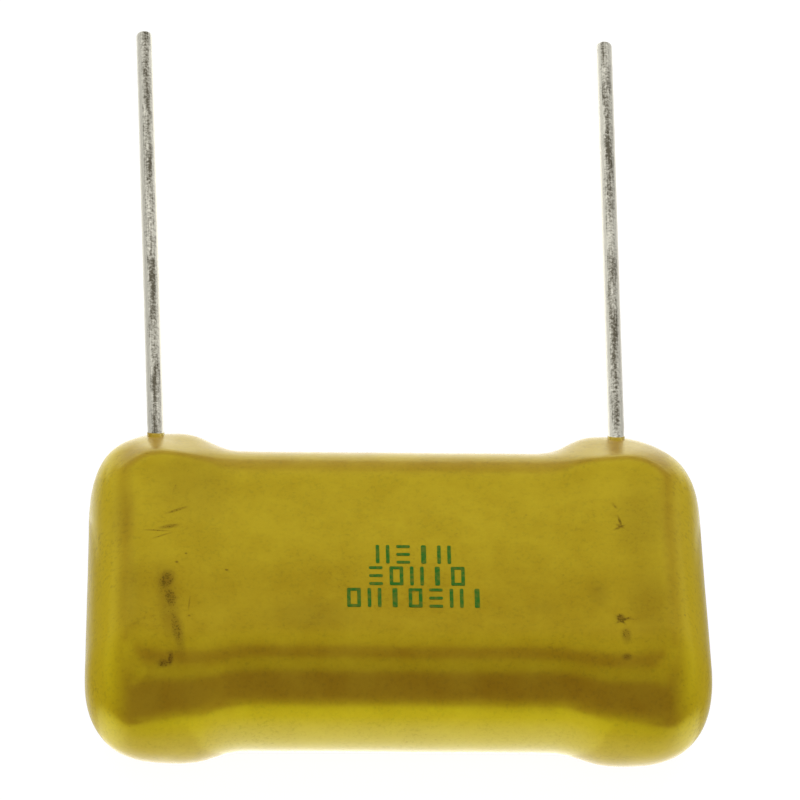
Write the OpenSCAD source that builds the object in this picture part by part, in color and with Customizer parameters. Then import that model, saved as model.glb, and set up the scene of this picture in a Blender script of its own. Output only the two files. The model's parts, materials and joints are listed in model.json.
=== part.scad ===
// Dipped mica capacitor, lying on one broad face.
// X runs along the body, Y towards the lead tips, Z up from the resting face.
// The origin is in the resting face, midway between the two leads.

/* [Mica stack] */
// Depth of the mica plates, across the body
plate_depth = 16; // [10:0.5:24]
// Thickness of the pressed stack of plates and foils
stack_thick = 3.4; // [2:0.1:6]

/* [Foil ends] */
// Thickness of the bundle of foil ends where it turns up at the end of the stack
foil_turn = 0.6; // [0.3:0.1:1]
// Thickness of the foil ends folded flat on top of the stack
foil_fold = 0.3; // [0.2:0.05:0.6]
// Bare margin of mica on each side of the foil
foil_margin = 1; // [0.5:0.1:2]
// How far the folded foil stops short of the clamp's inner edge
foil_short = 0.4; // [0.2:0.1:1]

/* [Clamps] */
// Thickness of the clamp's sheet metal
clamp_sheet = 0.5; // [0.3:0.05:0.8]
// Width of the clamp along the body
clamp_width = 6.2; // [5:0.1:8]
// Distance from the lead's axis to the clamp's outer edge
clamp_beyond_lead = 2.4; // [2:0.1:3]
// Open seam left between the clamp's two bent ends, underneath
clamp_seam = 3; // [1:0.5:6]

/* [Leads] */
// Distance between the two leads where they leave the coat
lead_pitch = 27.15; // [24:0.05:34]
// Diameter of the bare wire
wire_d = 0.95; // [0.6:0.05:1.2]
// Thickness of the tin on the free length of the lead
tin_thick = 0.025; // [0.02:0.005:0.05]
// Free length of the left lead, from where it leaves the coat to the tip
lead_free = 32; // [15:0.1:45]
// How much shorter the right lead is cut
right_trim = 0.5; // [0:0.1:3]
// Length over which the tin thins out towards the coat
tin_taper = 0.6; // [0.55:0.05:1.5]
// Length of wire hidden inside, from where it leaves the coat to the inner end
lead_hidden = 18; // [14:0.1:18.5]
// Angle by which the left lead leans outwards
left_splay = 1; // [0:0.1:2]
// Angle by which the right lead leans outwards
right_splay = 0.6; // [0:0.1:2]
// Rounded-off length at the cut tip
tip_round = 0.14; // [0.05:0.01:0.25]

/* [Solder] */
// Thickness of solder under the wire
solder_film = 0.05; // [0.03:0.01:0.15]
// Width of the bead where it spreads on the clamp
solder_foot = 2.4; // [1.8:0.1:3]
// Width of the bead at its top, on both sides of the wire
solder_crown = 1.5; // [1.4:0.05:1.7]
// Height of the bead above the wire's axis
solder_rise = 0.08; // [0.02:0.02:0.2]
// How far the bead stops short of the clamp's folded edge at the lead side
solder_short = 1; // [0.5:0.1:2]
// Length of wire left bare past the bead, at the wire's inner end
solder_past = 0.6; // [0.3:0.1:2]

/* [Coat] */
// Resin over the outer edge of each clamp
coat_end = 2.35; // [1.8:0.05:4]
// Resin over the clamps' folded edges, at the plain long side
coat_side = 2.4; // [2:0.1:4]
// Resin over the clamps' folded edges, at the lead side
coat_lead_side = 3.3; // [2:0.05:4.5]
// Resin under the clamps
coat_under = 1.95; // [1.6:0.05:3]
// Resin over the wires
coat_over = 1.75; // [1.2:0.05:3]
// Radius of the body's four corners, seen from above
corner_r = 5; // [4.5:0.1:6]
// Radius of the rounding between a broad face and the sides
edge_r = 4.2; // [3:0.1:4.3]
// Width of the upper rounding on the end bulges, at the plain long side
bulge_run = 4.7; // [3:0.1:6]
// Angle of the slope over the leads, on the end bulges
lead_slope = 34; // [25:1:45]
// Radius of the bend from the upper face to that slope
lead_bend_r = 1.5; // [0.5:0.1:3]
// Radius of the rounding from that slope to the lead side
lead_foot_r = 3.4; // [2.5:0.1:4.5]
// How far the plain long side draws in between the clamps
waist_in = 1.2; // [0:0.05:1.8]
// How far the lead side draws in between the clamps
waist_in_lead = 1.75; // [0:0.05:2.4]
// How far the upper face dips between the clamps
waist_dip = 0.3; // [0:0.05:0.8]
// How far the shoulder of the bulge starts before the clamp's inner edge
shoulder_lead = 0.8; // [0:0.1:2]
// Length of the shoulder, from waist to bulge
shoulder_len = 4.35; // [2:0.05:5]
// How much shorter each end is at the lead side, where the resin drained off
end_taper = 0.35; // [0:0.05:1.2]
// How far the coat sits off the middle of the two leads
coat_shift = 0.5; // [-0.8:0.05:0.8]

/* [Lead collars] */
// How far the resin collar climbs the wire
collar_rise = 0.2; // [0.1:0.05:1]
// Radius of the collar at its foot, in the coat
collar_foot_r = 0.85; // [0.8:0.05:1.3]
// Depth of the collar's foot in the coat
collar_depth = 1.6; // [1.4:0.1:2.5]
// Thickness of resin left round the wire at the collar's top
collar_lip = 0.08; // [0.04:0.01:0.2]
// Bare wire left between the collar and the tin
bare_gap = 0.05; // [0.02:0.01:0.5]

/* [Smoothness] */
// Steps in each corner of the coat
corner_steps = 9; // [4:1:12]
// Steps in each edge rounding of the coat
edge_steps = 9; // [4:1:12]
// Steps along each long side of the coat
side_steps = 36; // [16:2:48]

/* [Hidden] */
$fn = 64;
LEFT = -1;
RIGHT = 1;
// Overlap that keeps a cut from ending on a face
cut_past = 1;

// Heights, from the resting face up
clamp_z = coat_under;
stack_z = clamp_z + clamp_sheet;
fold_z = stack_z + stack_thick;
roof_z = fold_z + foil_fold;
clamp_top = roof_z + clamp_sheet;
wire_r = wire_d / 2;
tin_r = wire_r + tin_thick;
lead_z = clamp_top + solder_film + wire_r;
coat_thick = lead_z + wire_r + coat_over;
coat_mid = coat_thick / 2;

// Places along the body, from its middle
lead_x = lead_pitch / 2;
clamp_out = lead_x + clamp_beyond_lead;
clamp_in = clamp_out - clamp_width;
plate_end = clamp_out - foil_turn;
coat_half_len = clamp_out + coat_end;
waist_half = clamp_in - shoulder_lead;

// Places across the body
clamp_half = plate_depth / 2 + clamp_sheet;
plain_rim = clamp_half + coat_side;
lead_rim = clamp_half + coat_lead_side;
coat_depth = plain_rim + lead_rim;
foil_depth = plate_depth - 2 * foil_margin;

// The slope over the leads: a bend, a straight stretch and a rounding down to the widest line
bend_drop = lead_bend_r * (1 - cos(lead_slope));
foot_rise = lead_foot_r * cos(lead_slope);
foot_in = lead_foot_r * (1 - sin(lead_slope));
slope_in = (coat_mid - bend_drop - foot_rise) / tan(lead_slope);
lead_run = foot_in + slope_in + lead_bend_r * sin(lead_slope);

// How far that slope lies inside the widest line, by the height above it
function lead_in(h) =
    let (drop = max(0, coat_mid - h))
    h < foot_rise ? lead_foot_r - sqrt(lead_foot_r * lead_foot_r - h * h)
    : drop > bend_drop ? foot_in + (h - foot_rise) / tan(lead_slope)
    : lead_run - sqrt(drop * (2 * lead_bend_r - drop));

// A lead leaves the coat where its axis meets the slope
lead_exit = lead_rim - lead_in(lead_z - coat_mid);

// The edge rounding can't pass half the thickness, nor a corner be tighter than it
least_corner = 0.3;
rounding = min(edge_r, coat_mid);
corner = max(corner_r, rounding + least_corner);
corner_x = coat_half_len - corner;
corner_y = plain_rim - corner;

// Smooth step from 0 to 1
function ease(t) = let (c = min(1, max(0, t))) c * c * (3 - 2 * c);

// 1 in the waist, 0 on the end bulges
function waist(x) = 1 - ease((abs(x) - waist_half) / shoulder_len);

function arc(cx, cy, r, from) =
    [for (i = [0:corner_steps]) let (a = from + 90 * i / corner_steps) [cx + r * cos(a), cy + r * sin(a)]];

function side_x(i) = corner_x * (2 * i / side_steps - 1);

// Rounded rectangle, drawn in by inset all round, anticlockwise from its lower right corner
function plain_outline(inset) =
    let (r = corner - inset, y = plain_rim - inset)
    concat(
        arc(corner_x, -corner_y, r, -90),
        arc(corner_x, corner_y, r, 0),
        [for (i = [side_steps - 1:-1:1]) [side_x(i), y]],
        arc(-corner_x, corner_y, r, 90),
        arc(-corner_x, -corner_y, r, 180),
        [for (i = [1:side_steps - 1]) [side_x(i), -y]]
    );

// Shorter towards the lead side
function drained(x, y) = x * (1 - end_taper * (y + plain_rim) / (coat_depth * coat_half_len));

// The upper half sinks in the waist and the lower half stays level
function sunk(z, w) = z - waist_dip * w * max(0, z / coat_mid - 1);

// How far a ring lies from the body's middle on each long side
// The rounding is plain in the waist and underneath, and wider on the upper half of the bulges
// Drawn goes from 0 on the widest line to 1 where the rounding meets a broad face
function plain_y(drawn, w, up) =
    let (bulge = up ? bulge_run : rounding)
    plain_rim - waist_in * w - (bulge * (1 - w) + rounding * w) * drawn;
function lead_y(drawn, z, w, up) =
    let (bulge = up ? lead_in(z - coat_mid) : rounding * drawn)
    lead_rim - waist_in_lead * w - bulge * (1 - w) - rounding * drawn * w;

function ring(drawn, z, up) =
    let (inset = rounding * drawn)
    [
        for (p = plain_outline(inset))
            let (w = waist(p.x),
                 side = p.y < 0 ? plain_y(drawn, w, up) : lead_y(drawn, z, w, up),
                 y = side * p.y / (plain_rim - inset))
            [coat_shift + drained(p.x, y), y, sunk(z, w)]
    ];

// Rings from the resting face round the edge to the upper face
lower_rings = [for (i = [0:edge_steps]) let (a = 90 - 90 * i / edge_steps)
    ring(1 - cos(a), rounding * (1 - sin(a)), false)];
upper_rings = [for (i = [0:edge_steps]) let (a = 90 * i / edge_steps)
    ring(1 - cos(a), coat_mid * (1 + sin(a)), true)];
has_wall = coat_mid > rounding;
rings = concat(lower_rings, [for (i = [has_wall ? 0 : 1:edge_steps]) upper_rings[i]]);
ring_count = len(rings);
ring_size = len(rings[0]);

// Two triangles for the patch between the points a, b and c, d on neighbouring rows
function patch(a, b, c, d) = [[a, b, c], [b, d, c]];

function skin_faces() = [
    for (k = [0:ring_count - 2])
        for (i = [0:ring_size - 1])
            let (j = (i + 1) % ring_size, lower = k * ring_size, upper = lower + ring_size)
            each patch(lower + j, lower + i, upper + j, upper + i)
];

// A broad face is a ladder of strips from the near side to the lead side
function rung_near(j) = (corner_steps - j + ring_size) % ring_size;
function rung_far(j) = corner_steps + 1 + j;
function broad_faces(k, up) = [
    for (j = [0:ring_size / 2 - 2])
        let (row = k * ring_size, a = row + rung_near(j), b = row + rung_far(j),
             c = row + rung_near(j + 1), d = row + rung_far(j + 1))
        each up ? patch(b, a, d, c) : patch(a, b, c, d)
];

// The dipped body's outer form, lofted through the rings
module coat_form() {
    polyhedron(
        points = [for (r = rings) each r],
        faces = concat(skin_faces(), broad_faces(0, false), broad_faces(ring_count - 1, true)),
        convexity = 4
    );
}

// Puts its children on a lead: origin where the axis leaves the coat, Z along the lead
module on_lead(side) {
    translate([side * lead_x, lead_exit, lead_z])
        rotate([-90, 0, side > 0 ? -right_splay : left_splay])
            children();
}

// Resin that climbed a little way up the wire
module collar(side) {
    on_lead(side)
        translate([0, 0, -collar_depth])
            cylinder(h = collar_depth + collar_rise, r1 = collar_foot_r, r2 = wire_r + collar_lip);
}

// The folded band round one end of the stack, seen along the body
module clamp_section() {
    difference() {
        union() {
            translate([-clamp_half, stack_z])
                square([2 * clamp_half, roof_z - stack_z]);
            translate([-clamp_half + clamp_sheet, clamp_z])
                square([plate_depth, clamp_top - clamp_z]);
            for (y = [-plate_depth / 2, plate_depth / 2], z = [stack_z, roof_z])
                translate([y, z])
                    circle(r = clamp_sheet);
        }
        translate([-plate_depth / 2, stack_z])
            square([plate_depth, roof_z - stack_z]);
        translate([-clamp_seam / 2, clamp_z - cut_past])
            square([clamp_seam, clamp_sheet + cut_past]);
    }
}

module clamp(side) {
    translate([side > 0 ? clamp_in : -clamp_out, 0, 0])
        rotate([90, 0, 90])
            linear_extrude(height = clamp_width)
                clamp_section();
}

// Foil ends: up the end of the stack, round the corner and back over its top
module foil(side) {
    fold_end = clamp_in + foil_short;
    bend = foil_fold;
    mirror([side > 0 ? 0 : 1, 0, 0])
        translate([0, foil_depth / 2, 0])
            rotate([90, 0, 0])
                linear_extrude(height = foil_depth)
                    union() {
                        translate([plate_end, stack_z])
                            square([foil_turn, stack_thick]);
                        translate([fold_end, fold_z])
                            square([clamp_out - bend - fold_end, foil_fold]);
                        translate([clamp_out - bend, fold_z])
                            intersection() {
                                circle(r = bend);
                                square(bend);
                            }
                    }
}

// The bead holds the wire down to the clamp and leaves its top bare
module solder(side) {
    foot_y = wire_r + solder_film;
    start = solder_past - lead_hidden;
    end = clamp_half - solder_short - lead_exit;
    on_lead(side)
        translate([0, 0, start])
            linear_extrude(height = end - start)
                difference() {
                    polygon([
                        [-solder_foot / 2, foot_y],
                        [solder_foot / 2, foot_y],
                        [solder_crown / 2, -solder_rise],
                        [-solder_crown / 2, -solder_rise]
                    ]);
                    circle(r = wire_r);
                }
}

// Bare wire inside, under tin that starts thin just above the collar and ends at the cut tip
module lead(side) {
    free = lead_free - (side > 0 ? right_trim : 0);
    tin_start = collar_rise + bare_gap;
    tin_full = tin_start + tin_taper;
    on_lead(side) {
        translate([0, 0, -lead_hidden])
            cylinder(h = lead_hidden + tin_start, r = wire_r);
        translate([0, 0, tin_start])
            cylinder(h = tin_taper, r1 = wire_r, r2 = tin_r);
        translate([0, 0, tin_full])
            cylinder(h = free - tip_round - tin_full, r = tin_r);
        translate([0, 0, free - tip_round])
            cylinder(h = tip_round, r1 = tin_r, r2 = tin_r - tip_round);
    }
}

module mica() {
    translate([-plate_end, -plate_depth / 2, stack_z])
        cube([2 * plate_end, plate_depth, stack_thick]);
}

module resin_coat() {
    color("goldenrod")
        difference() {
            union() {
                coat_form();
                collar(LEFT);
                collar(RIGHT);
            }
            mica();
            for (side = [LEFT, RIGHT]) {
                foil(side);
                clamp(side);
                solder(side);
                lead(side);
            }
        }
}

module mica_stack() {
    color("burlywood") mica();
}

module foil_left() {
    color("gainsboro") foil(LEFT);
}

module foil_right() {
    color("gainsboro") foil(RIGHT);
}

module clamp_left() {
    color("darkgoldenrod") clamp(LEFT);
}

module clamp_right() {
    color("darkgoldenrod") clamp(RIGHT);
}

module solder_left() {
    color("silver") solder(LEFT);
}

module solder_right() {
    color("silver") solder(RIGHT);
}

module lead_left() {
    color("darkgray") lead(LEFT);
}

module lead_right() {
    color("darkgray") lead(RIGHT);
}

resin_coat();
mica_stack();
foil_left();
foil_right();
clamp_left();
clamp_right();
solder_left();
solder_right();
lead_left();
lead_right();
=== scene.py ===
import functools
import json
import math

import bmesh
import bpy
from mathutils import Matrix, Vector


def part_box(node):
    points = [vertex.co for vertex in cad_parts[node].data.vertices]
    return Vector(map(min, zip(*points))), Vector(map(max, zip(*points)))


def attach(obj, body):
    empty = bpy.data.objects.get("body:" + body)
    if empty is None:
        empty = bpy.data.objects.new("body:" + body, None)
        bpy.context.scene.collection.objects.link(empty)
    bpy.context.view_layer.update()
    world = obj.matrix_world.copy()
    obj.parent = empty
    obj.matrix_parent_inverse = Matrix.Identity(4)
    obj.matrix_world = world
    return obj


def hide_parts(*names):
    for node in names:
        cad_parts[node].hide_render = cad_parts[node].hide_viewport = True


bl_info = {
    "name": "Dipped mica capacitor",
    "version": (1, 0, 0),
    "blender": (4, 5, 0),
    "location": "3D View > Sidebar > Capacitor",
    "description": "Dresses a resin-dipped mica capacitor on its construction frame and sets its stage",
    "category": "Object",
}

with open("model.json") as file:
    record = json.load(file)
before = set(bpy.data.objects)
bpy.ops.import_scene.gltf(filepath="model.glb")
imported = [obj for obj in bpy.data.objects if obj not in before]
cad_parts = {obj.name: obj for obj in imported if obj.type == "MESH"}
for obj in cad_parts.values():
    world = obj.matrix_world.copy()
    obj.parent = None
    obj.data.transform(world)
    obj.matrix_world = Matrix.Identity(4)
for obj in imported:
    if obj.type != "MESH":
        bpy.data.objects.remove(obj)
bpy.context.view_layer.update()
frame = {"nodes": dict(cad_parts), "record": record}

MM = 0.001
COAT_LOW, COAT_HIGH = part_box("resin_coat")
COAT_DEPTH = COAT_HIGH.y - COAT_LOW.y
COAT_MIDDLE = Vector(((COAT_LOW.x + COAT_HIGH.x) / 2, 0, COAT_HIGH.z / 2))
LEAD_MOUNTS = {m["name"]: m for m in frame["record"]["mounts"] if m["kind"] == "pin"}


def linear(hex_colour):
    """The linear red, green and blue of an sRGB hex colour."""
    parts = [int(hex_colour[i:i + 2], 16) / 255 for i in (0, 2, 4)]
    return [c / 12.92 if c <= 0.04045 else ((c + 0.055) / 1.055) ** 2.4 for c in parts]


def length(name, description, millimetres):
    """A length property with its default given in millimetres."""
    return bpy.props.FloatProperty(
        name=name, description=description, default=millimetres * MM, min=0.0, unit="LENGTH", precision=5)


def colour(name, description, hex_colour):
    """An opaque colour property with its default given as an sRGB hex value."""
    return bpy.props.FloatVectorProperty(
        name=name, description=description, default=(*linear(hex_colour), 1.0), size=4, min=0.0, max=1.0,
        subtype="COLOR")


def angle(name, description, degrees):
    """An angle property with its default given in degrees."""
    return bpy.props.FloatProperty(
        name=name, description=description, default=math.radians(degrees), subtype="ANGLE")


def amount(name, description, value, top=10.0):
    """A plain number from 0 to a top value."""
    return bpy.props.FloatProperty(name=name, description=description, default=value, min=0.0, max=top)


class CoatSettings(bpy.types.PropertyGroup):
    """The dipped resin body."""

    corner_radius: length("Corner radius", "Radius of the body's four corners, seen from above", 5.0)
    edge_radius: length("Edge radius", "Radius of the rounding between a broad face and the sides", 4.2)
    end_run: length("End rounding", "Width of the upper rounding at the two ends", 3.3)
    bulge_run: length("Bulge rounding", "Width of the upper rounding on the bulges, at the plain side", 4.7)
    lead_slope: angle("Lead slope", "Angle of the slope over the leads, on the bulges", 30)
    lead_bend: length("Lead bend", "Radius of the bend from the upper face to that slope", 1.5)
    lead_foot: length("Lead foot", "Radius of the rounding from that slope to the lead side", 3.4)
    plain_margin: length("Plain-side margin", "How far the plain side stays inside the CAD box", 0.15)
    waist_in: length("Waist", "How far the plain long side draws in between the clamps", 0.97)
    waist_in_lead: length("Lead-side waist", "How far the lead side draws in between the clamps", 1.67)
    waist_dip: length("Waist dip", "How far the upper face dips between the clamps", 0.3)
    waist_half: length("Half waist", "Half the straight length of the waist", 9.3)
    shoulder: length("Shoulder", "Length of the shoulder from the waist to the bulge", 2.8)
    waist_shift: length("Waist shift", "How far left the waist sits on the lead side", 0.4)
    end_taper: length("End taper", "How much shorter each end is at the lead side", 0.5)
    corner_fill: length("Corner fill", "How far the fullest of the four corners is filled out", 0.5)
    face_fill: length("Face corner fill", "How far the upper face's corners are squared up", 0.5)
    fill_reach: length("Fill reach", "How far from each corner the filling reaches", 3.5)
    crown: length("Crown", "How far the upper face falls from its middle to its edges", 0.12)
    crown_reach: length("Crown reach", "How far from the middle line the upper face is raised", 6.0)
    collar_rise: length("Collar rise", "How high the resin stands over the slope round each wire", 0.03)
    collar_length: length("Collar length", "Length of each collar before it is trimmed", 2.4)
    collar_foot: length("Collar foot", "Radius of each collar at its root", 0.54)
    collar_top: length("Collar top", "Radius of each collar at its thin upper edge", 0.5)
    tin_from_coat: length("Tin start", "From the coat to the full thickness of the tin", 0.85)
    ripple: length("Ripple", "Depth of the broad unevenness left by the dip", 0.04)
    resin: colour("Resin", "Main colour of the resin", "BB9224")
    ochre: colour("Ochre patches", "Colour where the resin is browner", "AC7E1C")
    # Painted highlight: a lighter colour over both ends, in place of the light that the ends catch
    thin: colour("Thin resin", "Colour of the thinner, clearer resin round the two ends", "E0C01C")
    # Painted reflection: a pale colour along the lower plain side, in place of the lit table's reflection
    # there
    pale: colour("Pale rim", "Colour of the dull rim along the plain side", "D6C48C")
    # The same brown also paints shade along the rounding of the two ends
    haze_and_shade: colour("Haze", "Colour of the thin brown film of dirt", "7C5820")
    grime: colour("Grime", "Colour of the rubbed-in dirt", "563C10")


class LeadSettings(bpy.types.PropertyGroup):
    """The two tinned wires."""

    tin_taper: length("Tin taper", "Length over which the tin thins out towards the coat", 0.6)
    wire_radius: length("Wire radius", "Radius of the bare wire inside the body", 0.475)
    tip_round: length("Tip rounding", "Rounded-off length at the cut tip", 0.14)
    lumps: length("Lumps", "Depth of the unevenness of the tin", 0.02)
    tin: colour("Tin", "Colour of the dull tin", "DAD7C9")
    # Also the colour of the painted dark reflection along the top of each wire
    oxide_and_shade: colour("Oxide", "Colour of the dark streaks and pits", "565040")


class InkSettings(bpy.types.PropertyGroup):
    """The printed marks."""

    stroke: length("Stroke", "Width of one printed stroke", 0.21)
    mark_width: length("Mark width", "Width of one printed mark", 0.8)
    mark_height: length("Mark height", "Height of one printed mark", 1.4)
    mark_pitch: length("Mark pitch", "Distance from one mark to the next", 1.19)
    row_pitch: length("Row pitch", "Distance from one row to the next", 1.62)
    last_row: length("Last row", "From the middle of the body to the row nearest the plain side", 3.35)
    thickness: length("Ink thickness", "How far the ink stands on the resin", 0.015)
    ink: colour("Ink", "Colour of the green ink", "327A1C")
    worn: colour("Worn ink", "Colour where the ink is thin", "6E801C")


class InnerSettings(bpy.types.PropertyGroup):
    """The pieces inside the resin."""

    mica: colour("Mica", "Colour of the mica plates", "B08A5A")
    mica_edge: colour("Mica edges", "Colour of the gaps between the plates", "6E5232")
    foil: colour("Foil", "Colour of the foil ends", "C9CACB")
    brass: colour("Brass", "Colour of the clamps", "C29A45")
    tarnish: colour("Tarnish", "Colour of the clamps' tarnish", "7A5A24")
    solder: colour("Solder", "Colour of the solder beads", "A8AAAC")
    dull: colour("Dull metal", "Colour of the dull patches on foil and solder", "6C6D6E")


class StageSettings(bpy.types.PropertyGroup):
    """The studio."""

    elevation: angle("Camera elevation", "Height of the camera above the horizon", 50)
    azimuth: angle("Camera azimuth", "Turn of the camera round the part", -3.6)
    roll: angle("Camera roll", "Turn of the camera about its own axis", 3.2)
    distance: length("Camera distance", "From the camera to the middle of the body", 600)
    view_width: length("View width", "Width of the picture at the middle of the body", 46.75)
    aim_right: length("Aim right", "How far right of the body's middle the camera points", 0.19)
    aim_up: length("Aim up", "How far above the body's middle the camera points", 11.77)
    horizon_light: amount("Horizon softbox", "Radiance of the long low softbox beyond the part", 1.4)
    low_light: amount("Low softbox", "Radiance of the low softbox beyond the part", 0.35)
    far_light: amount("Far softbox", "Radiance of the main softbox beyond the part, at its middle", 1.25)
    high_light: amount("Top softbox", "Radiance of the softbox above the part", 0.75)
    near_light: amount("Near softbox", "Radiance of the softbox over the camera's side", 0.74)
    near_horizon: amount("Near horizon", "Radiance of the low strip under the camera", 0.7)
    near_table: amount("Near table", "Radiance that the lit table adds in front of the part", 0.5)
    far_table: amount("Far table", "Radiance that the lit table adds beyond the part", 0.4)
    near_card: amount("Near cards", "Radiance of the two cards that only show in the near rim", 1.0)
    far_card: amount("Far card", "Radiance of the card that only shows in the slope over the leads", 0.45)
    corner_card: amount("Corner cards", "Radiance of the two cards over the near corners", 0.85)
    side_fill: amount("Side fills", "Radiance of the two lamps beside the part", 0.5)
    floor_colour: colour("Floor", "Colour of the pale floor", "F4F4F2")


def add_node(tree, kind, inputs=None, **settings):
    """Adds a node with its settings and its inputs. Another node is linked by its first output."""
    node = tree.nodes.new(kind)
    for key, value in settings.items():
        setattr(node, key, value)
    for key, value in (inputs or {}).items():
        if isinstance(value, bpy.types.Node):
            value = next(output for output in value.outputs if output.enabled)
        if isinstance(value, bpy.types.NodeSocket):
            tree.links.new(value, node.inputs[key])
        else:
            node.inputs[key].default_value = value
    return node


def empty_tree(owner):
    """Gives a material or a world an empty node tree and returns what adds nodes to it."""
    owner.use_nodes = True
    owner.node_tree.nodes.clear()
    return functools.partial(add_node, owner.node_tree)


def new_material(name):
    """A new material, what adds nodes to it, and its Object coordinates."""
    material = bpy.data.materials.new(name)
    add = empty_tree(material)
    return material, add, add("ShaderNodeTexCoord").outputs["Object"]


def per(millimetres):
    """The pattern scale that repeats once in this length."""
    return 1 / (millimetres * MM)


# Rubbed-in dirt on the upper face, and painted shade along the rounding of the two ends: middle x and y,
# half width and depth in mm, turn in degrees, density
DIRT_AND_SHADE_SPOTS = (
    (-12.95, -4.0, 0.6, 2.7, 7, 0.55),
    (-13.05, -2.4, 0.48, 0.85, -10, 1.0),
    (-12.85, -3.7, 0.4, 0.9, 8, 0.95),
    (-12.5, -5.9, 0.36, 1.7, 10, 0.78),
    (-12.4, -6.5, 0.2, 0.4, 0, 0.9),
    (-13.25, -8.15, 0.36, 0.22, 0, 1.0),
    (-12.85, -7.9, 0.16, 0.42, -8, 1.0),
    (-12.4, 2.95, 0.75, 0.12, 24, 0.8),
    (-12.9, 1.65, 0.6, 0.16, 14, 0.85),
    (-13.6, 1.35, 0.8, 0.06, -4, 0.75),
    (-13.3, 0.95, 0.6, 0.06, 22, 0.7),
    (-12.55, 4.6, 0.1, 0.55, -16, 0.6),
    (-12.45, -1.05, 0.09, 0.09, 0, 1.2),
    (-11.9, -0.4, 0.07, 0.07, 0, 1.1),
    (-9.55, -1.45, 0.1, 0.08, 0, 1.1),
    (-11.75, -5.0, 0.07, 0.07, 0, 1.1),
    (-11.75, -4.1, 0.05, 0.5, -6, 0.75),
    # The next two: painted shade where the upper face rounds over into the left end
    (-15.6, 3.0, 0.7, 2.4, 0, 0.3),
    (-15.2, -3.2, 0.8, 2.8, 0, 0.3),
    (-11.6, 5.2, 2.2, 3.0, 0, 0.32),
    (13.4, 2.3, 0.09, 0.55, 12, 1.0),
    (13.35, 1.85, 0.42, 0.1, 30, 1.0),
    (13.4, 1.95, 0.32, 0.1, -35, 1.0),
    (13.15, 3.5, 0.1, 0.3, 30, 0.65),
    (13.2, -4.95, 0.26, 0.3, 0, 1.2),
    (13.35, -5.1, 0.5, 0.1, 28, 1.1),
    (13.2, -5.1, 0.45, 0.1, -50, 1.1),
    (13.55, -5.0, 0.6, 0.06, -5, 0.9),
    (12.0, -3.1, 0.6, 0.95, 10, 0.34),
    (13.5, -6.2, 0.3, 0.55, 0, 0.75),
    (13.5, -7.6, 0.3, 0.2, 0, 0.95),
    # The next two: painted shade where the upper face rounds over into the right end
    (14.6, 2.4, 1.5, 3.2, 0, 0.32),
    (14.9, -3.8, 1.3, 3.0, 0, 0.3),
    (8.8, -4.0, 0.9, 0.5, 0, 0.22),
    (-4.6, -4.6, 2.6, 1.1, 0, 0.32),
)


def rubbing_and_shade_mask(add, place):
    """How strongly each point of the upper face is rubbed with dirt, and near the ends darkened by painted
    shade, from the table of spots.
    """
    dirt_and_shade = None
    for x, y, half_width, half_depth, turn, density in DIRT_AND_SHADE_SPOTS:
        offset = add("ShaderNodeMapping", {
            "Vector": place, "Location": (x * MM, y * MM, 0), "Rotation": (0, 0, math.radians(turn)),
            "Scale": (half_width * MM, half_depth * MM, 1000)}, vector_type="TEXTURE")
        reach = add("ShaderNodeVectorMath", {0: offset}, operation="LENGTH")
        spot = add("ShaderNodeMapRange", {
            "Value": reach, "From Min": 1.5, "From Max": 0.3, "To Max": density},
            interpolation_type="SMOOTHSTEP")
        if dirt_and_shade is not None:
            spot = add("ShaderNodeMath", {0: dirt_and_shade, 1: spot}, operation="MAXIMUM")
        dirt_and_shade = spot
    return dirt_and_shade


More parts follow.
